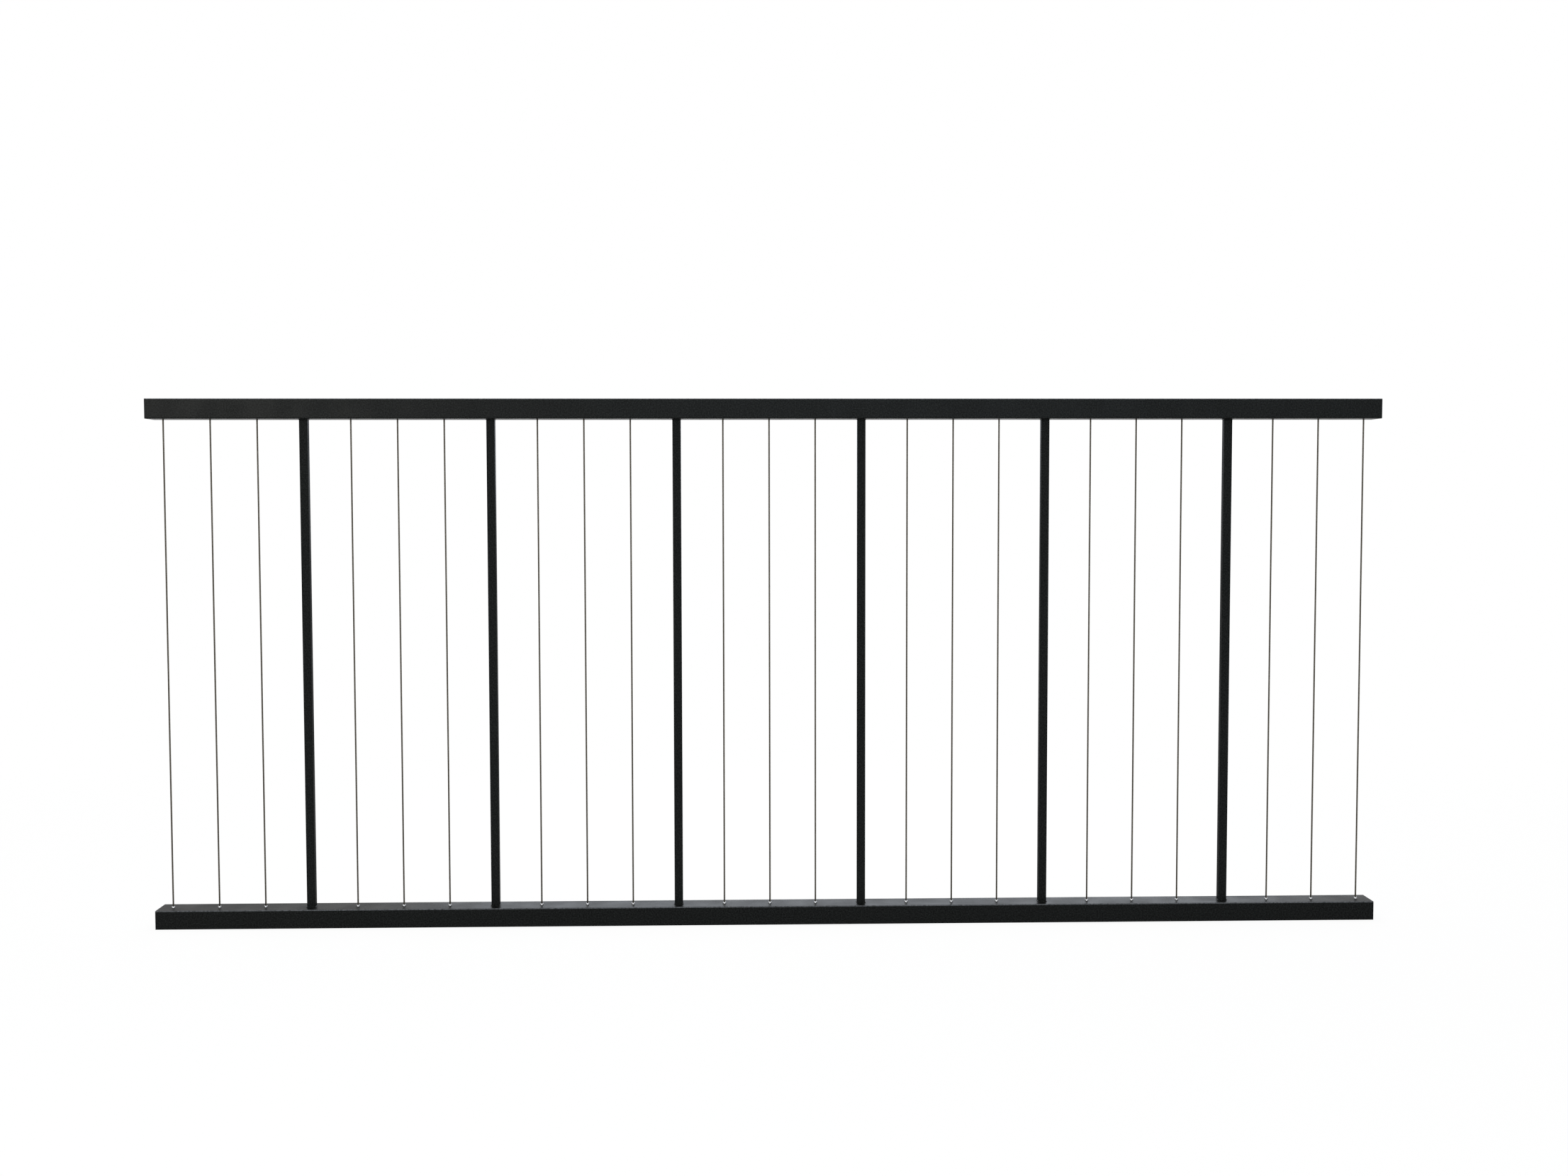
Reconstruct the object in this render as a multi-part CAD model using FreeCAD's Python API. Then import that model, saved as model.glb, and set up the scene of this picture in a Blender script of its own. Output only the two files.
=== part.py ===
"""Deck railing section: two steel rails, square pickets and taut vertical cables between them.

Millimetres. X runs along the rails, Y through their depth and Z up. The origin lies on the left end
face of the bottom rail, in the middle of its depth and level with its underside.
"""
import os

import FreeCAD
import Part

# Panel layout
PITCH = 88.9  # from one upright to the next, cable or picket alike
CABLES_PER_BAY = 3
PICKET_COUNT = 6
END_MARGIN = 25.4  # from the outermost cable to the rail's cut end
PANEL_HEIGHT = 1016.0

# Rails: a rectangular tube above and a channel, open downwards, below
RAIL_DEPTH = 57.15
TOP_RAIL_HEIGHT = 38.1
BOTTOM_RAIL_HEIGHT = 36.0
RAIL_WALL = 2.0
RAIL_CORNER_RADIUS = 2.0
RAIL_INNER_RADIUS = 0.5

# Pickets: square tube, butted between the rails and welded there
PICKET_WIDTH = 15.9
PICKET_WALL = 1.2
PICKET_CORNER_RADIUS = 1.8

# Cables: twelve wires show round the outside of the strand, and the small round pieces follow its sides
STRAND_WIRES = 12
CABLE_DIAMETER = 3.2
CABLE_HOLE_CLEARANCE = 0.35  # round the cable, in the top rail's lower wall
GRIP_CLEARANCE = 0.05  # round the cable, in a swaged bore

# Swaged stops that hold the cables' upper ends inside the top rail
STOP_WALL = 1.6
STOP_LENGTH = 14.0
STOP_HEAD_RIM = 1.6  # how far the head stands out past the barrel
STOP_HEAD_THICKNESS = 3.0

# Swaged threaded studs on the cables' feet, which slide through the bottom rail
STUD_WALL = 1.55
COLLAR_HEIGHT = 2.6  # the barrel's end that stands above the rail
GRIP_DEPTH = 12.0
BARREL_FLOOR = 3.0  # solid metal under the cable's end
STEM_STEP = 0.3  # the threaded stem is thinner than the barrel by this much all round
STEM_PROJECTION = 3.0  # how far the stem shows below its nut
STUD_HOLE_CLEARANCE = 0.25

# Flanged tension nuts that draw the studs down from inside the channel
NUT_BORE_CLEARANCE = 0.25
NUT_WALL = 1.6  # at the middle of a flat
NUT_FLANGE_RIM = 1.5  # how far the flange stands out past the hexagon's corners
NUT_FLANGE_THICKNESS = 2.0
NUT_TRAVEL = 2.5  # free depth under the barrel for later tightening
THREAD_ENGAGEMENT = 9.0
THREAD_CLEARANCE = 0.1

# Worked out from the sizes above
BAY_COUNT = PICKET_COUNT + 1
UPRIGHT_COUNT = BAY_COUNT * CABLES_PER_BAY + PICKET_COUNT
RAIL_LENGTH = (UPRIGHT_COUNT - 1) * PITCH + 2 * END_MARGIN
RAIL_INSIDE = RAIL_DEPTH - 2 * RAIL_WALL
TOP_RAIL_UNDERSIDE = PANEL_HEIGHT - TOP_RAIL_HEIGHT
STOP_SEAT = TOP_RAIL_UNDERSIDE + RAIL_WALL
CABLE_TOP = STOP_SEAT + STOP_LENGTH
COLLAR_TOP = BOTTOM_RAIL_HEIGHT + COLLAR_HEIGHT
CABLE_FOOT = COLLAR_TOP - GRIP_DEPTH
BARREL_FOOT = CABLE_FOOT - BARREL_FLOOR
NUT_SEAT = BOTTOM_RAIL_HEIGHT - RAIL_WALL
NUT_SHOULDER = BARREL_FOOT - NUT_TRAVEL
NUT_FOOT = NUT_SHOULDER - THREAD_ENGAGEMENT
STEM_FOOT = NUT_FOOT - STEM_PROJECTION

CABLE_RADIUS = CABLE_DIAMETER / 2
CABLE_HOLE_RADIUS = CABLE_RADIUS + CABLE_HOLE_CLEARANCE
GRIP_RADIUS = CABLE_RADIUS + GRIP_CLEARANCE
STOP_RADIUS = GRIP_RADIUS + STOP_WALL
BARREL_RADIUS = GRIP_RADIUS + STUD_WALL
STEM_RADIUS = BARREL_RADIUS - STEM_STEP
STUD_HOLE_RADIUS = BARREL_RADIUS + STUD_HOLE_CLEARANCE
NUT_BORE_RADIUS = BARREL_RADIUS + NUT_BORE_CLEARANCE
THREAD_HOLE_RADIUS = STEM_RADIUS + THREAD_CLEARANCE

UP = FreeCAD.Vector(0, 0, 1)
ALONG = FreeCAD.Vector(1, 0, 0)


def rounded(corners):
    """A face bounded by right-angled corners, each a point and the radius that rounds it, or 0."""
    count = len(corners)
    arc_starts = []
    arc_ends = []
    edges = []
    for index, (corner, radius) in enumerate(corners):
        before = (corners[index - 1][0] - corner).normalize()
        after = (corners[(index + 1) % count][0] - corner).normalize()
        start = corner + before * radius
        end = corner + after * radius
        arc_starts.append(start)
        arc_ends.append(end)
        if radius > 0:
            centre = start + after * radius
            middle = centre + (corner - centre).normalize() * radius
            edges.append(Part.Arc(start, middle, end).toShape())
    for index, end in enumerate(arc_ends):
        edges.append(Part.LineSegment(end, arc_starts[(index + 1) % count]).toShape())
    return Part.Face(Part.Wire(Part.__sortEdges__(edges)))


def rail_section(width, low, high, low_radius, high_radius):
    """An outline at the rails' left end, centred on the middle of their depth."""
    half = width / 2
    return rounded([
        (FreeCAD.Vector(0, -half, low), low_radius),
        (FreeCAD.Vector(0, half, low), low_radius),
        (FreeCAD.Vector(0, half, high), high_radius),
        (FreeCAD.Vector(0, -half, high), high_radius),
    ])


def picket_section(width, radius):
    """A square outline about the Z axis, on top of the bottom rail."""
    half = width / 2
    return rounded([
        (FreeCAD.Vector(x * half, y * half, BOTTOM_RAIL_HEIGHT), radius)
        for x, y in ((-1, -1), (1, -1), (1, 1), (-1, 1))
    ])


def bar(radius, low, high, sides=STRAND_WIRES):
    """An upright bar on the Z axis with even sides, its corners at the given radius."""
    corners = [
        FreeCAD.Rotation(UP, 360 / sides * turn).multVec(ALONG * radius) + UP * low
        for turn in range(sides)
    ]
    return Part.Face(Part.makePolygon(corners + corners[:1])).extrude(UP * (high - low))


def joined(first, second):
    return first.fuse(second).removeSplitter().Solids[0]


def at_each(shape, places):
    """Like solids that don't touch, one at each place along X."""
    return Part.makeCompound([shape.translated(ALONG * place) for place in places])


def punched(rail, radius, wall_low, places):
    """The rail with a hole through one level wall at each place along X."""
    spare = RAIL_WALL / 2
    punch = bar(radius, wall_low - spare, wall_low + RAIL_WALL + spare)
    return rail.cut(at_each(punch, places)).Solids[0]


def top_rail(cable_places):
    outside = rail_section(
        RAIL_DEPTH, TOP_RAIL_UNDERSIDE, PANEL_HEIGHT, RAIL_CORNER_RADIUS, RAIL_CORNER_RADIUS
    )
    inside = rail_section(
        RAIL_INSIDE, STOP_SEAT, PANEL_HEIGHT - RAIL_WALL, RAIL_INNER_RADIUS, RAIL_INNER_RADIUS
    )
    tube = outside.cut(inside).extrude(ALONG * RAIL_LENGTH)
    return punched(tube, CABLE_HOLE_RADIUS, TOP_RAIL_UNDERSIDE, cable_places)


def bottom_rail(cable_places):
    outside = rail_section(RAIL_DEPTH, 0, BOTTOM_RAIL_HEIGHT, 0, RAIL_CORNER_RADIUS)
    inside = rail_section(RAIL_INSIDE, 0, NUT_SEAT, 0, RAIL_INNER_RADIUS)
    channel = outside.cut(inside).extrude(ALONG * RAIL_LENGTH)
    return punched(channel, STUD_HOLE_RADIUS, NUT_SEAT, cable_places)


def picket():
    outside = picket_section(PICKET_WIDTH, PICKET_CORNER_RADIUS)
    inside = picket_section(PICKET_WIDTH - 2 * PICKET_WALL, 0)
    return outside.cut(inside).extrude(UP * (TOP_RAIL_UNDERSIDE - BOTTOM_RAIL_HEIGHT))


def cable():
    return bar(CABLE_RADIUS, CABLE_FOOT, CABLE_TOP)


def top_stop():
    """A barrel swaged on the cable's end, with a head that bears on the tube's lower wall."""
    head = bar(STOP_RADIUS + STOP_HEAD_RIM, STOP_SEAT, STOP_SEAT + STOP_HEAD_THICKNESS)
    barrel = bar(STOP_RADIUS, STOP_SEAT, CABLE_TOP)
    return joined(head, barrel).cut(bar(GRIP_RADIUS, STOP_SEAT, CABLE_TOP)).Solids[0]


def foot_stud():
    """A barrel swaged on the cable's foot, drawn out below into a threaded stem."""
    barrel = bar(BARREL_RADIUS, BARREL_FOOT, COLLAR_TOP)
    stem = bar(STEM_RADIUS, STEM_FOOT, BARREL_FOOT)
    return joined(barrel, stem).cut(bar(GRIP_RADIUS, CABLE_FOOT, COLLAR_TOP)).Solids[0]


def tension_nut():
    """A long hexagonal nut hung from the channel's web by its flange, bored out above for the barrel."""
    half_turn_of_a_flat = FreeCAD.Rotation(UP, 30)
    hexagon_radius = (NUT_BORE_RADIUS + NUT_WALL) / half_turn_of_a_flat.multVec(ALONG).x
    hexagon = bar(hexagon_radius, NUT_FOOT, NUT_SEAT, sides=6)
    flange = bar(hexagon_radius + NUT_FLANGE_RIM, NUT_SEAT - NUT_FLANGE_THICKNESS, NUT_SEAT)
    bore = joined(
        bar(THREAD_HOLE_RADIUS, NUT_FOOT, NUT_SHOULDER),
        bar(NUT_BORE_RADIUS, NUT_SHOULDER, NUT_SEAT),
    )
    return joined(hexagon, flange).cut(bore).Solids[0]


def uprights():
    """Where the pickets stand, and where the cables of each bay run, along X."""
    picket_places = []
    bays = [[]]
    for index in range(UPRIGHT_COUNT):
        place = END_MARGIN + index * PITCH
        if index % (CABLES_PER_BAY + 1) == CABLES_PER_BAY:
            picket_places.append(place)
            bays.append([])
        else:
            bays[-1].append(place)
    return picket_places, bays


picket_places, bays = uprights()
cable_places = [place for bay in bays for place in bay]

nodes = {
    "top_rail": top_rail(cable_places),
    "bottom_rail": bottom_rail(cable_places),
}
for number, place in enumerate(picket_places, start=1):
    nodes[f"picket_{number}"] = picket().translated(ALONG * place)
for number, place in enumerate(cable_places, start=1):
    nodes[f"cable_{number:02d}"] = cable().translated(ALONG * place)
for number, places in enumerate(bays, start=1):
    nodes[f"foot_studs_bay_{number}"] = at_each(foot_stud(), places)
    nodes[f"tension_nuts_bay_{number}"] = at_each(tension_nut(), places)
nodes["cable_top_stops"] = at_each(top_stop(), cable_places)

os.makedirs("parts", exist_ok=True)
for name, shape in nodes.items():
    shape.exportStep(f"parts/{name}.step")
    print(name, len(shape.Solids), "solids", round(shape.Volume / 1000, 2), "cm3", shape.isValid())
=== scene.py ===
"""Deck railing section: a powder-coated steel frame strung with taut vertical cables."""
import math
from itertools import pairwise

import bmesh
import bpy
from mathutils import Matrix, Vector


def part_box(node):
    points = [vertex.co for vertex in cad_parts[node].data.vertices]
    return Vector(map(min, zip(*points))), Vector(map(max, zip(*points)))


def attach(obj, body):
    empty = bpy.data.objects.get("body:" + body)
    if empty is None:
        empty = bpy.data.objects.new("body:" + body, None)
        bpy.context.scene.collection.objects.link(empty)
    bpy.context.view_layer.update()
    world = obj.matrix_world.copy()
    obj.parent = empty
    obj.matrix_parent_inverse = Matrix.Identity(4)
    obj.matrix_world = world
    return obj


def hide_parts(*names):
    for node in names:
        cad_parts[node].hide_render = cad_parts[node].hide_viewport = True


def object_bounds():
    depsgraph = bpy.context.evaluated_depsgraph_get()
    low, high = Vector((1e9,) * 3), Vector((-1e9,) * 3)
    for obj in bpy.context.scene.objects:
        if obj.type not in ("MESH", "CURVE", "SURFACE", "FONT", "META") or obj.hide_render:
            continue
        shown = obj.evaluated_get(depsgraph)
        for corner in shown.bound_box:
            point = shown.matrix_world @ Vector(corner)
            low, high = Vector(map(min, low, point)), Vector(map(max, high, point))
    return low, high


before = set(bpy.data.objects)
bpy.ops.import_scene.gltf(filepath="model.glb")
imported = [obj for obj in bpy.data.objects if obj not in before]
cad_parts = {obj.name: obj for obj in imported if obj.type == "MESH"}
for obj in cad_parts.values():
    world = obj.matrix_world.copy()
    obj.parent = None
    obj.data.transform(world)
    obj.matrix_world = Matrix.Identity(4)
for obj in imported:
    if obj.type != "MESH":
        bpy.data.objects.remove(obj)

cad_low, cad_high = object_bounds()

# Bottom rail
# A channel folded from steel sheet, open downwards, its web punched where the cables' studs pass.
# It is powder-coated black with the rest of the frame: a satin skin with a fine orange peel.
MM = 0.001
RAIL_ROUNDING = 2.0 * MM
RAIL_SHEEN = 0.05
RAIL_GROUNDS = (0.0001, 0.0002, 0.0002), (0.0008, 0.0010, 0.0010)
RAIL_FLECK = (0.0132, 0.0143, 0.0141)
# The colour of a painted highlight along the rails' rounded upper edges, broken into patches.
PAINTED_EDGE_HIGHLIGHT = (0.118, 0.122, 0.133)
EDGE_HIGHLIGHT_PATCH = 7.0 * MM
COAT_BLOTCH = 160.0 * MM
COAT_FLECK = 2.6 * MM
COAT_ROUGHNESS = 0.34, 0.42
SHINE_PATCH = 45.0 * MM
PEEL_SIZE = 4.0 * MM
PEEL_HEIGHT = 0.10 * MM
GRAIN_SIZE = 1.1 * MM
GRAIN_HEIGHT = 0.05 * MM


def shader_node(tree, kind, inputs, **settings):
    """One node, with its settings and its inputs: values, or the outputs that feed them."""
    made = tree.nodes.new(kind)
    for name, value in settings.items():
        setattr(made, name, value)
    for name, value in inputs.items():
        if isinstance(value, bpy.types.NodeSocket):
            tree.links.new(value, made.inputs[name])
        else:
            made.inputs[name].default_value = value
    return made


def new_material(name):
    """A material, its node tree, its shader, and the place on the piece that its patterns follow."""
    material = bpy.data.materials.new(name)
    material.use_nodes = True
    tree = material.node_tree
    place = shader_node(tree, "ShaderNodeTexCoord", {}).outputs["Object"]
    return material, tree, tree.nodes["Principled BSDF"], place


def noise(tree, place, size, detail, grit=0.5):
    """A noise whose blots are about the given size across, with finer ones on them by its grit."""
    made = shader_node(
        tree, "ShaderNodeTexNoise",
        {"Vector": place, "Scale": 1 / size, "Detail": detail, "Roughness": grit},
    )
    return made.outputs["Fac"]


def spread(tree, value, low, high, start=0.3, end=0.7):
    """A pattern that runs from low to high as a value goes from start to end: the middle of a noise,
    unless the call says otherwise."""
    made = shader_node(
        tree, "ShaderNodeMapRange",
        {"Value": value, "From Min": start, "From Max": end, "To Min": low, "To Max": high},
    )
    return made.outputs["Result"]


def reckon(tree, operation, *values):
    """One step of arithmetic on one or two values."""
    made = shader_node(tree, "ShaderNodeMath", dict(enumerate(values)), operation=operation)
    return made.outputs["Value"]


def blend(tree, amount, first, second):
    """Two colours, mixed by a pattern. The node also has sockets for numbers and vectors, so its colour
    sockets are found by their kind."""
    made = shader_node(tree, "ShaderNodeMix", {"Factor": amount}, data_type="RGBA")
    sockets = [socket for socket in made.inputs if socket.type == "RGBA"]
    for socket, colour in zip(sockets, (first, second)):
        if isinstance(colour, bpy.types.NodeSocket):
            tree.links.new(colour, socket)
        else:
            socket.default_value = (*colour, 1)
    return next(socket for socket in made.outputs if socket.type == "RGBA")


def relief(tree, pattern, height, strength, under=None):
    """A surface that a pattern raises by up to a height, on top of another relief if one is given."""
    inputs = {"Height": pattern, "Distance": height, "Strength": strength}
    if under is not None:
        inputs["Normal"] = under
    return shader_node(tree, "ShaderNodeBump", inputs).outputs["Normal"]


def painted_edge_highlight(tree, place, rail):
    """A painted highlight along the middle of a rail's two rounded upper edges, broken into patches and
    fading out at the flats beside them.
    """
    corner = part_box(rail)[1]
    axes = shader_node(tree, "ShaderNodeSeparateXYZ", {"Vector": place}).outputs
    side = reckon(tree, "ABSOLUTE", axes["Y"])
    outwards = spread(tree, side, 0, 1, start=corner.y - RAIL_ROUNDING, end=corner.y)
    upwards = spread(tree, axes["Z"], 0, 1, start=corner.z - RAIL_ROUNDING, end=corner.z)
    on_rounding = reckon(tree, "MULTIPLY", outwards, upwards)
    highlight_breakup = noise(tree, place, EDGE_HIGHLIGHT_PATCH, detail=4, grit=0.8)
    patches = spread(tree, highlight_breakup, 0.2, 1, start=0.36, end=0.62)
    return spread(tree, on_rounding, 0, patches, start=0, end=0.5)


def powder_coat(name, sheen, grounds, fleck, rail=None):
    """Black polyester powder, baked on: pale flecks on faint blotches, and a soft orange peel with a finer
    grain on it. A paler line along a rail's upper edges is a painted highlight, where light catches the
    rounding."""
    material, tree, shader, place = new_material(name)
    blotches = spread(tree, noise(tree, place, COAT_BLOTCH, detail=2), 0, 1)
    flecks = spread(tree, noise(tree, place, COAT_FLECK, detail=3, grit=1.0), 0, 1, start=0.44, end=0.62)
    colour = blend(tree, flecks, blend(tree, blotches, *grounds), fleck)
    if rail:
        # Painted highlight: the rail's rounded upper edges are made paler where light would catch them.
        colour = blend(tree, painted_edge_highlight(tree, place, rail), colour, PAINTED_EDGE_HIGHLIGHT)
    shine = spread(tree, noise(tree, place, SHINE_PATCH, detail=3), *COAT_ROUGHNESS)
    peel = relief(tree, noise(tree, place, PEEL_SIZE, detail=1), PEEL_HEIGHT, strength=0.2)
    grain = relief(tree, noise(tree, place, GRAIN_SIZE, detail=2), GRAIN_HEIGHT, strength=0.1, under=peel)
    tree.links.new(colour, shader.inputs["Base Color"])
    tree.links.new(shine, shader.inputs["Roughness"])
    tree.links.new(grain, shader.inputs["Normal"])
    shader.inputs["Specular IOR Level"].default_value = sheen
    return material


def dress(node, material):
    """Gives a solid of the frame its finish."""
    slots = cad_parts[node].data.materials
    slots.clear()
    slots.append(material)


coat = powder_coat("powder_coat", RAIL_SHEEN, RAIL_GROUNDS, RAIL_FLECK, "bottom_rail")
dress("bottom_rail", coat)
rail_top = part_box("bottom_rail")[1].z

# Pickets
# Six square steel tubes, butted between the rails and welded there. They take a lit and shaded copy of the
# same black powder:
# less sheen keeps their sides dark where the rails' tops catch a sheen, and a paler ground colour is painted
# light on their fronts.
PICKET_SHEEN = 0.006
# A paler ground than the rails': painted light on the pickets' fronts, standing in for the sheen they lack.
PICKET_GROUNDS = (0.0040, 0.0043, 0.0043), (0.0050, 0.0054, 0.0054)
PICKET_FLECK = (0.0158, 0.0169, 0.0167)
flat_coat = powder_coat("flat_powder_coat", PICKET_SHEEN, PICKET_GROUNDS, PICKET_FLECK)
pickets = sorted(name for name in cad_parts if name.startswith("picket_"))
for picket in pickets:
    dress(picket, flat_coat)
picket_low, picket_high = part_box(pickets[0])
picket_half = (picket_high.x - picket_low.x) / 2
picket_places = [(low.x + high.x) / 2 for low, high in map(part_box, pickets)]

# Top rail
# A rectangular steel tube, cut square at both ends and punched in its lower wall for the cables,
# welded to the pickets' heads under the same powder coat as the bottom rail's.
top_coat = powder_coat("top_rail_powder_coat", RAIL_SHEEN, RAIL_GROUNDS, RAIL_FLECK, "top_rail")
dress("top_rail", top_coat)
rail_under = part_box("top_rail")[0].z

# Weld beads
# A small fillet weld runs round the foot and the head of each picket. It is laid by hand with a wire
# feed, so it is slightly crowned, with even ripples across it, and the powder coat softens it.
WELD_LEG = 1.4 * MM
WELD_SINK = 0.15 * MM
WELD_CROWN = 0.10
WELD_STEPS = 6
WELD_CORNER = 1.8 * MM
WELD_CORNER_STEPS = 4
WELD_RIPPLE = 0.8 * MM
RIPPLE_HEIGHT = 0.07 * MM
WELD_SMOOTHING = math.radians(60)


def edit_new(**settings):
    """Starts a piece from a ring at a place, with nothing else selected, and opens it for editing."""
    if bpy.context.mode != "OBJECT":
        bpy.ops.object.mode_set(mode="OBJECT")
    bpy.ops.object.select_all(action="DESELECT")
    bpy.ops.mesh.primitive_circle_add(fill_type="NOTHING", enter_editmode=True, **settings)
    return bpy.context.object


def pick(test):
    """In edit mode, selects only the vertices that the test accepts by their place in the piece."""
    bpy.ops.mesh.select_mode(type="VERT")
    mesh = bpy.context.object.data
    editing = bmesh.from_edit_mesh(mesh)
    for vertex in editing.verts:
        vertex.select = test(vertex.co)
    editing.select_flush(True)
    editing.select_flush(False)
    bmesh.update_edit_mesh(mesh)


def pick_open_rings():
    """In edit mode, selects the edges that border one face only."""
    bpy.ops.mesh.select_mode(type="EDGE")
    bpy.ops.mesh.select_all(action="DESELECT")
    bpy.ops.mesh.select_non_manifold(
        use_wire=False, use_multi_face=False, use_non_contiguous=False, use_verts=False
    )


def extrude_ring(axis, was, now):
    """Draws the selected ring on from one half-width and height to the next about an upright axis."""
    (was_out, was_up), (out, up) = was, now
    bpy.ops.mesh.extrude_edges_move(TRANSFORM_OT_translate={"value": (0, 0, up - was_up)})
    share = out / was_out
    bpy.ops.transform.resize(value=(share, share, 1), center_override=(axis, 0, up))


def close_piece(smoothing):
    """Turns the faces outwards, leaves edit mode and smooths the edges that turn by less than an angle."""
    bpy.ops.mesh.select_all(action="SELECT")
    bpy.ops.mesh.normals_make_consistent(inside=False)
    bpy.ops.object.mode_set(mode="OBJECT")
    bpy.ops.object.shade_smooth_by_angle(angle=smoothing)


def only(*pieces):
    """Selects these pieces alone, with the first active."""
    bpy.ops.object.select_all(action="DESELECT")
    for piece in pieces:
        piece.select_set(True)
    bpy.context.view_layer.objects.active = pieces[0]


def apply(piece, name, kind, **settings):
    """Adds a modifier with its settings, and applies it."""
    modifier = piece.modifiers.new(name, kind)
    for setting, value in settings.items():
        setattr(modifier, setting, value)
    only(piece)
    bpy.ops.object.modifier_apply(modifier=name)


def copies(piece, start, places):
    """Copies of a piece that stands at one place along X, each with a mesh of its own, at other places."""
    made = []
    for place in places:
        only(piece)
        bpy.ops.object.duplicate(linked=False)
        bpy.ops.transform.translate(value=(place - start, 0, 0))
        made.append(bpy.context.object)
    return made


def fix(name, material, pieces, replaced=()):
    """Joins the pieces into one, with its place in its mesh, and fixes it to the frame."""
    only(*pieces)
    if len(pieces) > 1:
        bpy.ops.object.join()
    bpy.ops.object.transform_apply(location=True, rotation=True, scale=True)
    piece = bpy.context.object
    piece.name = name
    piece.data.name = name
    piece.data.materials.clear()
    piece.data.materials.append(material)
    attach(piece, "root")
    if replaced:
        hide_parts(*replaced)
    return piece


def weld_bead(axis):
    """The bead round one picket's foot: a ring with the picket's corners, drawn out into a fillet."""
    ring_half = picket_half - WELD_SINK
    ring_height = rail_top + WELD_LEG
    bead = edit_new(vertices=4, radius=ring_half * math.sqrt(2), location=(axis, 0, ring_height))
    bpy.ops.transform.rotate(value=math.radians(45), orient_axis="Z", center_override=(axis, 0, rail_top))
    bpy.ops.mesh.bevel(offset=WELD_CORNER, segments=WELD_CORNER_STEPS, affect="VERTICES")
    editing = bmesh.from_edit_mesh(bead.data)
    for edge in editing.edges:
        edge.select = edge.calc_length() > picket_half
    editing.select_flush_mode()
    bmesh.update_edit_mesh(bead.data)
    bpy.ops.mesh.subdivide(number_cuts=round(2 * (picket_half - WELD_CORNER) / (WELD_RIPPLE / 2)))
    bpy.ops.mesh.select_all(action="SELECT")
    stations = [(ring_half, ring_height)]
    for step in range(1, WELD_STEPS):
        share = step / WELD_STEPS
        crown = WELD_CROWN * math.sin(math.pi * share)
        stations.append((
            picket_half + WELD_LEG * (share + crown),
            rail_top + WELD_LEG * (1 - share + crown),
        ))
    stations.append((picket_half + WELD_LEG, rail_top - WELD_SINK))
    stations.append((ring_half, rail_top - WELD_SINK))
    for was, now in pairwise(stations):
        extrude_ring(axis, was, now)
    pick_open_rings()
    bpy.ops.mesh.bridge_edge_loops()

    def on_ripple(place):
        """Every other stretch of the crown, between its foot and just under its upper lip."""
        along = place.x if abs(place.y) > abs(place.x) else place.y
        on_crown = -WELD_LEG < place.z < -WELD_LEG / 10
        return on_crown and abs(along) < picket_half and math.cos(2 * math.pi * along / WELD_RIPPLE) > 0

    pick(on_ripple)
    share = 1 + RIPPLE_HEIGHT / picket_half
    bpy.ops.transform.resize(value=(share, share, 1), center_override=(axis, 0, rail_top))
    bpy.ops.transform.translate(value=(0, 0, RIPPLE_HEIGHT))
    close_piece(WELD_SMOOTHING)
    apply(bead, "smooth", "SUBSURF", levels=1, render_levels=1)
    return bead


first_bead = weld_bead(picket_places[0])
foot_beads = [first_bead] + copies(first_bead, picket_places[0], picket_places[1:])
foot_welds = fix("foot_welds", coat, foot_beads)
only(foot_welds)
bpy.ops.object.duplicate(linked=False)
bpy.ops.object.mode_set(mode="EDIT")
bpy.ops.mesh.select_all(action="SELECT")
bpy.ops.transform.resize(value=(1, 1, -1), center_override=(0, 0, (rail_top + rail_under) / 2))
close_piece(WELD_SMOOTHING)
fix("head_welds", coat, [bpy.context.object])

# Cables
# Twenty-one strands of stainless wire, twelve wires showing round each, laid in a long even spiral.
# They are cut to length, threaded up through both rails and pulled taut.
CABLE_RADIUS = 1.6 * MM
GROOVE_RADIUS = 1.30 * MM
SHOULDER_RADIUS = 1.51 * MM
OUTER_WIRES = 12
WIRE_POINTS = 4  # the groove beside a wire, its shoulder, its crown and its other shoulder
LAY_TURNS = 28
LAY_STEPS = 10
STRAND_SMOOTHING = math.radians(70)
WIRE_TINTS = (0.112, 0.101, 0.084), (0.088, 0.078, 0.062)
# The colour of the painted shade in the grooves between the wires.
PAINTED_GROOVE_SHADE = (0.020, 0.017, 0.013)
WIRE_ROUGHNESS = 0.30, 0.45
DULLED_PATCH = 30.0 * MM
DRAWING_MARK = 0.5 * MM
cables = sorted(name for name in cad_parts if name.startswith("cable_") and name[-1].isdigit())
cable_places = [(low.x + high.x) / 2 for low, high in map(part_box, cables)]
cable_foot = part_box(cables[0])[0].z
cable_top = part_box(cables[0])[1].z


def strand_steel():
    """Drawn stainless wire, a little dulled, with painted shade in the grooves between wires."""
    material, tree, shader, place = new_material("cable_strand")
    groove = shader_node(tree, "ShaderNodeAttribute", {}, attribute_name="groove").outputs["Fac"]
    dulling = spread(tree, noise(tree, place, DULLED_PATCH, detail=3), 0, 1)
    drawn = spread(tree, noise(tree, place, DRAWING_MARK, detail=2), *WIRE_ROUGHNESS)
    # Painted shade: the grooves between the wires are darkened by their depth.
    shaded = blend(tree, groove, blend(tree, dulling, *WIRE_TINTS), PAINTED_GROOVE_SHADE)
    tree.links.new(shaded, shader.inputs["Base Color"])
    tree.links.new(drawn, shader.inputs["Roughness"])
    shader.inputs["Metallic"].default_value = 1.0
    return material


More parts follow.
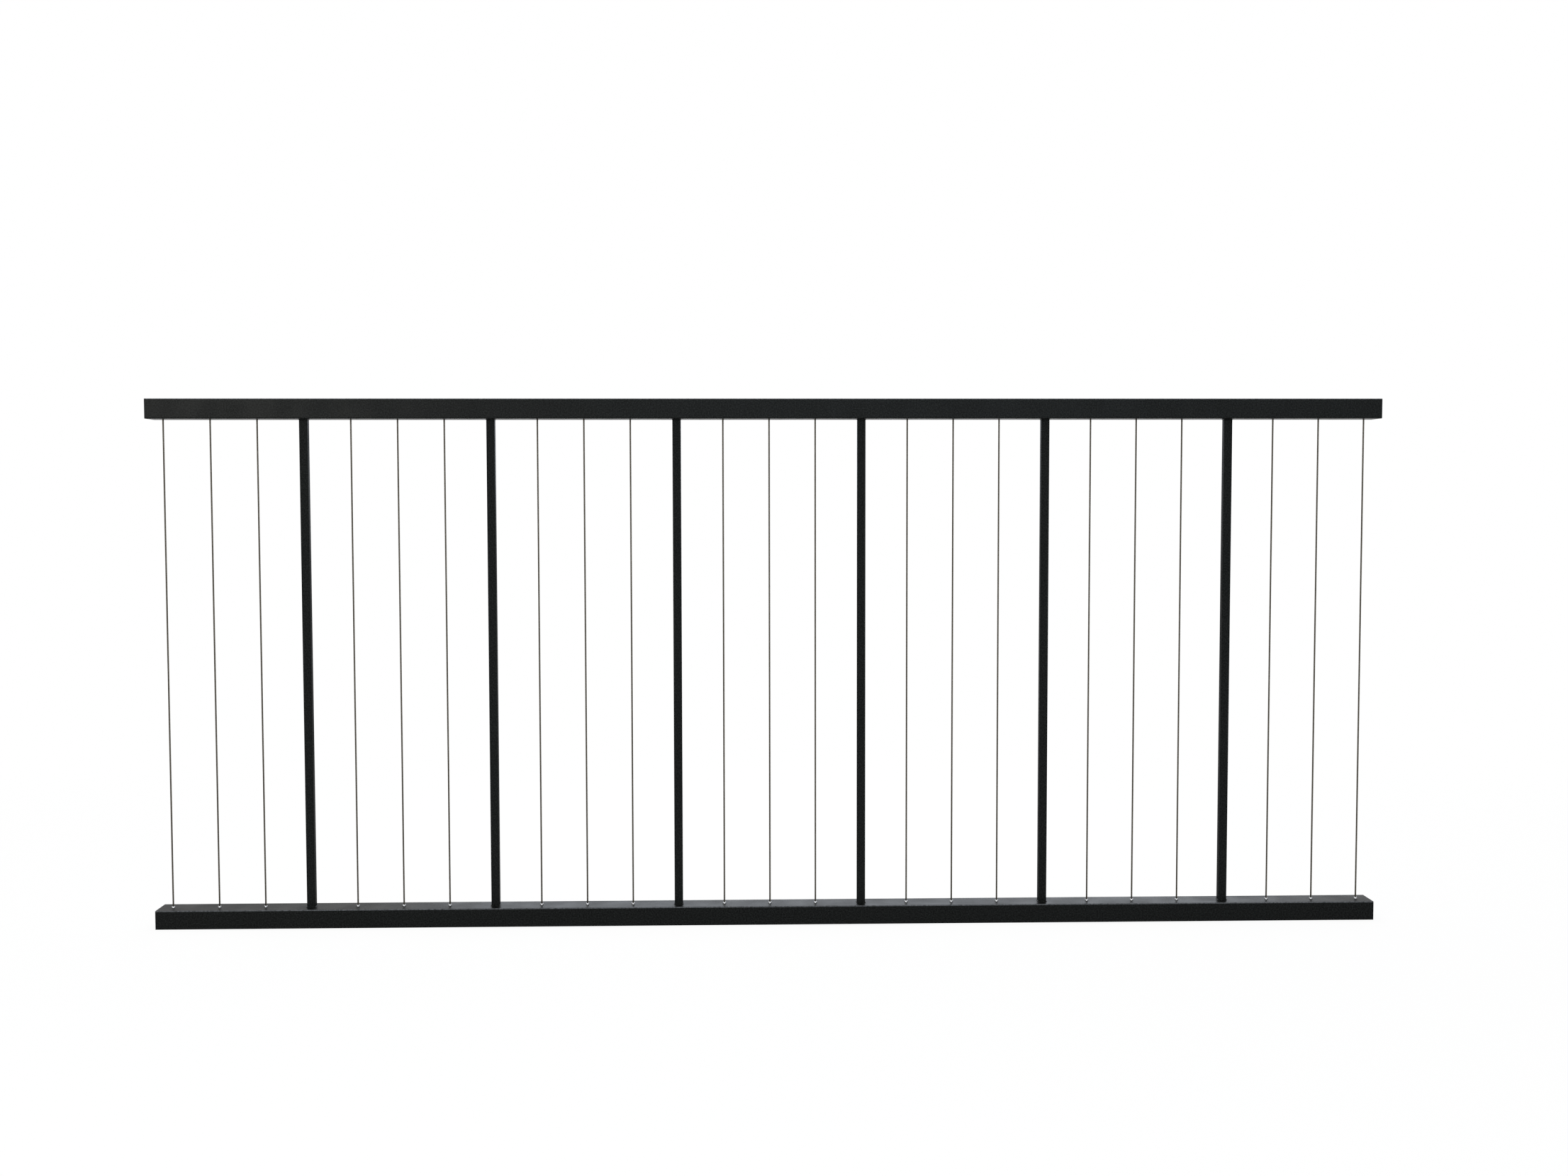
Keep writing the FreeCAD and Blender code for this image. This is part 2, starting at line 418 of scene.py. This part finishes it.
def strand(axis):
    """One strand: a ring with a lobe for each outer wire, screwed along the cable."""
    ring_points = OUTER_WIRES * WIRE_POINTS
    piece = edit_new(vertices=ring_points, radius=CABLE_RADIUS, location=(axis, 0, cable_foot))
    turn = 2 * math.pi / ring_points
    for points, radius in (((0,), GROOVE_RADIUS), ((1, 3), SHOULDER_RADIUS)):
        pick(lambda place: round(math.atan2(place.y, place.x) / turn) % WIRE_POINTS in points)
        share = radius / CABLE_RADIUS
        bpy.ops.transform.resize(value=(share, share, 1), center_override=(axis, 0, cable_foot))
    bpy.ops.object.mode_set(mode="OBJECT")
    apply(
        piece, "lay", "SCREW", axis="Z", angle=2 * math.pi, iterations=LAY_TURNS,
        screw_offset=(cable_top - cable_foot) / LAY_TURNS, steps=LAY_STEPS, render_steps=LAY_STEPS,
    )
    bpy.ops.object.mode_set(mode="EDIT")
    bpy.ops.mesh.select_all(action="SELECT")
    bpy.ops.mesh.fill_holes(sides=0)
    close_piece(STRAND_SMOOTHING)
    grooves = piece.data.attributes.new("groove", "FLOAT", "POINT")
    for vertex, depth in zip(piece.data.vertices, grooves.data):
        radius = math.hypot(vertex.co.x, vertex.co.y)
        depth.value = (CABLE_RADIUS - radius) / (CABLE_RADIUS - GROOVE_RADIUS)
    return piece


strand_finish = strand_steel()
first_strand = strand(cable_places[0])
strands = [first_strand] + copies(first_strand, cable_places[0], cable_places[1:])
for cable, piece in zip(cables, strands):
    fix(cable.replace("cable", "strand"), strand_finish, [piece], [cable])

# Top stops
# A stainless sleeve swaged on each cable's upper end, inside the top rail. Its head bears on the tube's
# lower wall, and the swaging dies leave two shallow waists in its barrel.
FITTING_SIDES = 40
FITTING_SMOOTHING = math.radians(35)
FITTING_TINTS = (0.40, 0.40, 0.41), (0.33, 0.33, 0.34)
FITTING_ROUGHNESS = 0.28, 0.38
FITTING_PATCH = 9.0 * MM
TURNING_SCALE = 0.16 / MM
TURNING_DEPTH = 0.02 * MM
GRIP_RADIUS = 1.65 * MM
EDGE = 0.35 * MM
STOP_RADIUS = 3.25 * MM
STOP_HEAD_RADIUS = 4.85 * MM
STOP_HEAD_THICKNESS = 3.0 * MM
WAIST_RADIUS = 2.95 * MM
WAIST_DROPS = 3.2 * MM, 7.2 * MM
WAIST_HALF = 0.7 * MM
WAIST_REACH = 1.2 * MM
stop_low, stop_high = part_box("cable_top_stops")
stop_head_top = stop_low.z + STOP_HEAD_THICKNESS


def fitting_steel():
    """Bright stainless, turned and swaged: fine rings round each upright axis, and a little variation."""
    material, tree, shader, place = new_material("stainless_fitting")
    rings = shader_node(
        tree, "ShaderNodeTexWave",
        {"Vector": place, "Scale": TURNING_SCALE, "Distortion": 1.2, "Detail": 2.0},
        bands_direction="Z",
    ).outputs["Fac"]
    cloud = spread(tree, noise(tree, place, FITTING_PATCH, detail=3), 0, 1)
    tree.links.new(blend(tree, cloud, *FITTING_TINTS), shader.inputs["Base Color"])
    tree.links.new(spread(tree, rings, *FITTING_ROUGHNESS), shader.inputs["Roughness"])
    tree.links.new(relief(tree, rings, TURNING_DEPTH, strength=0.3), shader.inputs["Normal"])
    shader.inputs["Metallic"].default_value = 1.0
    return material


def turned(axis, stations, hollow):
    """A round piece on an upright axis, drawn from ring to ring. A hollow one joins its last ring to its
    first, and a solid one is capped at both."""
    radius, height = stations[0]
    piece = edit_new(vertices=FITTING_SIDES, radius=radius, location=(axis, 0, height))
    for was, now in pairwise(stations):
        extrude_ring(axis, was, now)
    pick_open_rings()
    if hollow:
        bpy.ops.mesh.bridge_edge_loops()
    else:
        bpy.ops.mesh.fill_holes(sides=0)
    close_piece(FITTING_SMOOTHING)
    return piece


fitting_finish = fitting_steel()
stop_outline = [
    (GRIP_RADIUS, stop_low.z),
    (GRIP_RADIUS, stop_high.z),
    (STOP_RADIUS - EDGE, stop_high.z),
    (STOP_RADIUS, stop_high.z - EDGE),
]
for drop in WAIST_DROPS:
    waist = stop_high.z - drop
    stop_outline += [
        (STOP_RADIUS, waist + WAIST_REACH),
        (WAIST_RADIUS, waist + WAIST_HALF),
        (WAIST_RADIUS, waist - WAIST_HALF),
        (STOP_RADIUS, waist - WAIST_REACH),
    ]
stop_outline += [
    (STOP_RADIUS, stop_head_top + EDGE),
    (STOP_RADIUS + EDGE, stop_head_top),
    (STOP_HEAD_RADIUS - EDGE, stop_head_top),
    (STOP_HEAD_RADIUS, stop_head_top - EDGE),
    (STOP_HEAD_RADIUS, stop_low.z + EDGE),
    (STOP_HEAD_RADIUS - EDGE, stop_low.z),
]
first_stop = turned(cable_places[0], stop_outline, hollow=True)
stops = [first_stop] + copies(first_stop, cable_places[0], cable_places[1:])
fix("top_stops", fitting_finish, stops, ["cable_top_stops"])

# Foot studs
# A stainless stud swaged on each cable's foot. Its bored barrel stands a little above the bottom rail as
# a bright collar, slides through the punched web and ends below in a threaded stem.
CABLES_PER_BAY = 3
BARREL_RADIUS = 3.2 * MM
BARREL_FOOT = 23.6 * MM
STEM_RADIUS = 2.9 * MM
STEM_ROOT = 2.45 * MM
THREAD_PITCH = 1.0 * MM
THREAD_STEPS = 24
PLAIN_TURNS = 2  # left without thread, one at each end of the stem
RIDGE_RADIUS = 0.75 * (STEM_RADIUS - STEM_ROOT)  # of its three corners, so that its base sinks into the core
stud_low, stud_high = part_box("foot_studs_bay_1")
bays = [cable_places[start:start + CABLES_PER_BAY] for start in range(0, len(cable_places), CABLES_PER_BAY)]


def foot_stud(axis):
    """The turned stud, its rim rolled over, with a helical ridge wound round the core of its stem."""
    body = turned(axis, [
        (GRIP_RADIUS, cable_foot),
        (GRIP_RADIUS, stud_high.z - EDGE),
        (GRIP_RADIUS + EDGE, stud_high.z),
        (BARREL_RADIUS - 2 * EDGE, stud_high.z),
        (BARREL_RADIUS - 0.6 * EDGE, stud_high.z - 0.5 * EDGE),
        (BARREL_RADIUS, stud_high.z - 2 * EDGE),
        (BARREL_RADIUS, BARREL_FOOT + EDGE),
        (BARREL_RADIUS - EDGE, BARREL_FOOT),
        (STEM_ROOT, BARREL_FOOT),
        (STEM_ROOT, stud_low.z + EDGE),
        (STEM_ROOT - EDGE, stud_low.z),
    ], hollow=False)
    turns = round((BARREL_FOOT - stud_low.z) / THREAD_PITCH) - PLAIN_TURNS
    start = stud_low.z + THREAD_PITCH
    ridge = edit_new(vertices=3, radius=RIDGE_RADIUS, location=(axis, 0, start))
    for turning in "Z", "X":
        bpy.ops.transform.rotate(
            value=math.radians(90), orient_axis=turning, center_override=(axis, 0, start)
        )
    tip = max(vertex.co.x for vertex in bmesh.from_edit_mesh(ridge.data).verts)
    bpy.ops.transform.translate(value=(STEM_RADIUS - tip, 0, 0))
    bpy.ops.object.mode_set(mode="OBJECT")
    apply(
        ridge, "thread", "SCREW", axis="Z", angle=2 * math.pi, iterations=turns,
        screw_offset=THREAD_PITCH, steps=THREAD_STEPS, render_steps=THREAD_STEPS,
    )
    bpy.ops.object.mode_set(mode="EDIT")
    bpy.ops.mesh.select_all(action="SELECT")
    bpy.ops.mesh.fill_holes(sides=0)
    close_piece(FITTING_SMOOTHING)
    only(body, ridge)
    bpy.ops.object.join()
    return body


def remove(piece):
    """Deletes a piece that has served its turn."""
    only(piece)
    bpy.ops.object.delete()


def fix_in_bays(first, name, node):
    """Copies a fitting to every cable, fixes those of each bay as one piece, and removes the first one."""
    for number, bay in enumerate(bays, start=1):
        pieces = copies(first, cable_places[0], bay)
        fix(f"{name}_bay_{number}", fitting_finish, pieces, [f"{node}_bay_{number}"])
    remove(first)


fix_in_bays(foot_stud(cable_places[0]), "studs", "foot_studs")

# Tension nuts
# A long flanged nut, milled from hexagonal stainless bar, hangs from the channel's web round each stud.
# It is bored out above to let the barrel in and tapped below, and turning it draws the cable tight.
FLANGE_RADIUS = 7.33 * MM
FLANGE_THICKNESS = 2.0 * MM
HEXAGON_CORNER = 5.83 * MM
HEXAGON_CHAMFER = 0.9 * MM
HALF_FLAT = math.radians(30)
NUT_BORE = 3.45 * MM
NUT_SHOULDER = 21.1 * MM
THREAD_HOLE = 3.0 * MM
nut_low, nut_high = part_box("tension_nuts_bay_1")


def tension_nut(axis):
    """A hexagonal bar turned off at its foot, joined to its flange and bored in two steps."""
    flat = HEXAGON_CORNER * math.cos(HALF_FLAT)
    flange_foot = nut_high.z - FLANGE_THICKNESS
    nut = edit_new(vertices=6, radius=HEXAGON_CORNER, location=(axis, 0, nut_low.z))
    bpy.ops.transform.rotate(value=HALF_FLAT, orient_axis="Z", center_override=(axis, 0, nut_low.z))
    extrude_ring(axis, (HEXAGON_CORNER, nut_low.z), (HEXAGON_CORNER, nut_high.z - EDGE))
    bpy.ops.mesh.select_all(action="SELECT")
    bpy.ops.mesh.fill_holes(sides=0)
    close_piece(FITTING_SMOOTHING)
    blank = turned(axis, [
        (flat - EDGE, nut_low.z),
        (HEXAGON_CORNER + EDGE, nut_low.z + HEXAGON_CHAMFER),
        (HEXAGON_CORNER + EDGE, nut_high.z),
    ], hollow=False)
    flange = turned(axis, [
        (HEXAGON_CORNER - 2 * EDGE, flange_foot - 2 * EDGE),
        (HEXAGON_CORNER + EDGE, flange_foot),
        (FLANGE_RADIUS - EDGE, flange_foot + EDGE),
        (FLANGE_RADIUS, flange_foot + 2 * EDGE),
        (FLANGE_RADIUS, nut_high.z - EDGE),
        (FLANGE_RADIUS - EDGE, nut_high.z),
    ], hollow=False)
    bore = turned(axis, [
        (THREAD_HOLE + EDGE, nut_low.z - EDGE),
        (THREAD_HOLE + EDGE, nut_low.z),
        (THREAD_HOLE, nut_low.z + EDGE),
        (THREAD_HOLE, NUT_SHOULDER),
        (NUT_BORE, NUT_SHOULDER),
        (NUT_BORE, nut_high.z + EDGE),
    ], hollow=False)
    for tool, operation in ((blank, "INTERSECT"), (flange, "UNION"), (bore, "DIFFERENCE")):
        apply(nut, "cut", "BOOLEAN", object=tool, operation=operation, solver="EXACT")
        remove(tool)
    only(nut)
    bpy.ops.object.shade_smooth_by_angle(angle=FITTING_SMOOTHING)
    return nut


fix_in_bays(tension_nut(cable_places[0]), "nuts", "tension_nuts")

# Floor
# A plain white studio floor under the bottom rail, which runs on into a white background and keeps a
# faint shadow of the panel.
FLOOR_SIZE = 30.0
FLOOR_WHITE = 0.9
PLAIN_WHITE = (1, 1, 1, 1)
PLAIN_SHARE = 0.9, 1.0  # of plain white, under the panel and away from it
PLAIN_FADE = 0.5, 2.2  # metres from the panel's middle, between which that share rises
PLAIN_STRETCH = (0.6, 1, 0)  # draws the fade out along the rails
middle = (cad_low + cad_high) / 2
bpy.ops.object.select_all(action="DESELECT")
bpy.ops.mesh.primitive_plane_add(size=FLOOR_SIZE, location=(middle.x, 0, cad_low.z))
floor = bpy.context.object
floor.name = "floor"
bpy.ops.object.transform_apply(location=True, rotation=True, scale=True)


def seen_directly(tree):
    """1 for what the camera sees, also in metal and through glass, and 0 for the light that falls."""
    path = shader_node(tree, "ShaderNodeLightPath", {}).outputs
    either = reckon(tree, "MAXIMUM", path["Is Camera Ray"], path["Is Glossy Ray"])
    return reckon(tree, "MAXIMUM", either, path["Is Transmission Ray"])


def studio_floor():
    """Matt white, mostly shown as plain white so that only a faint shadow darkens it."""
    material, tree, shader, place = new_material("studio_floor")
    shader.inputs["Base Color"].default_value = (FLOOR_WHITE, FLOOR_WHITE, FLOOR_WHITE, 1)
    shader.inputs["Roughness"].default_value = 1.0
    shader.inputs["Specular IOR Level"].default_value = 0.0
    white = shader_node(tree, "ShaderNodeEmission", {"Color": PLAIN_WHITE, "Strength": 1.0})
    off = shader_node(
        tree, "ShaderNodeVectorMath", {0: place, 1: (middle.x, 0, 0)}, operation="SUBTRACT"
    ).outputs["Vector"]
    flattened = shader_node(
        tree, "ShaderNodeVectorMath", {0: off, 1: PLAIN_STRETCH}, operation="MULTIPLY"
    ).outputs["Vector"]
    distance = shader_node(tree, "ShaderNodeVectorMath", {0: flattened}, operation="LENGTH").outputs["Value"]
    plain = spread(tree, distance, *PLAIN_SHARE, *PLAIN_FADE)
    share = reckon(tree, "MULTIPLY", seen_directly(tree), plain)
    mixed = shader_node(
        tree, "ShaderNodeMixShader", {0: share, 1: shader.outputs["BSDF"], 2: white.outputs["Emission"]}
    )
    tree.links.new(mixed.outputs["Shader"], tree.nodes["Material Output"].inputs["Surface"])
    return material


floor.data.materials.append(studio_floor())

# Studio light
# An even white surround and four large soft lamps: a warm key in front on the left, a cooler and broader
# fill in front on the right, one overhead, and one behind that brightens the middle of the rails' tops.
FALLING_LIGHT = 0.6
world = bpy.data.worlds.new("studio")
bpy.context.scene.world = world
world.use_nodes = True
sky = world.node_tree
surround = shader_node(sky, "ShaderNodeBackground", {"Color": PLAIN_WHITE, "Strength": 1.0})
falling = shader_node(sky, "ShaderNodeBackground", {"Color": PLAIN_WHITE, "Strength": FALLING_LIGHT})
both = shader_node(
    sky, "ShaderNodeMixShader",
    {0: seen_directly(sky), 1: falling.outputs["Background"], 2: surround.outputs["Background"]},
)
sky.links.new(both.outputs["Shader"], sky.nodes["World Output"].inputs["Surface"])


def soft_lamp(name, place, target, width, height, power, colour):
    """A rectangular soft box at a place, turned towards a target and unseen by the camera."""
    data = bpy.data.lights.new(name, "AREA")
    data.shape = "RECTANGLE"
    data.size = width
    data.size_y = height
    data.energy = power
    data.color = colour
    lamp = bpy.data.objects.new(name, data)
    bpy.context.scene.collection.objects.link(lamp)
    lamp.location = place
    lamp.rotation_euler = (Vector(target) - Vector(place)).to_track_quat("-Z", "Y").to_euler()
    lamp.visible_camera = False


soft_lamp(
    "key", place=(middle.x - 2.3, -4.0, 1.5), target=middle,
    width=1.6, height=1.2, power=72, colour=(1, 1, 0.94),
)
soft_lamp(
    "fill", place=(middle.x + 1.0, -5.0, 1.6), target=middle,
    width=4.0, height=1.6, power=85, colour=(0.82, 0.94, 1),
)
soft_lamp(
    "top", place=(middle.x, 0.9, 2.8), target=(middle.x, 0.9, 0),
    width=3.6, height=2.4, power=45, colour=(1, 1, 1),
)
soft_lamp(
    "rim", place=(middle.x + 0.5, 4.2, 1.5), target=middle,
    width=3.9, height=1.4, power=38, colour=(0.8, 0.88, 1),
)

# Camera
# The photograph's view: almost square on, a little left of the middle, about 0.8 m above the floor and
# 3.2 m in front of the rails, looking slightly down.
PHOTO_WIDTH = 2212
FOCAL_PIXELS = 2343.8
CAMERA_PLACE = (middle.x - 0.0571, -3.2111, 0.8247)
CAMERA_YAW = 0.0266
CAMERA_PITCH = 0.0536
CAMERA_ROLL = -0.0015
camera_data = bpy.data.cameras.new("camera")
camera_data.sensor_width = 36.0
camera_data.lens = FOCAL_PIXELS * camera_data.sensor_width / PHOTO_WIDTH
camera = bpy.data.objects.new("camera", camera_data)
bpy.context.scene.collection.objects.link(camera)
turn = Matrix.Rotation(-CAMERA_YAW, 3, "Z")
tilt = Matrix.Rotation(math.pi / 2 - CAMERA_PITCH, 3, "X")
roll = Matrix.Rotation(CAMERA_ROLL, 3, "Z")
camera.location = CAMERA_PLACE
camera.rotation_euler = (turn @ tilt @ roll).to_euler()
bpy.context.scene.camera = camera
bpy.context.scene.view_settings.view_transform = "Standard"
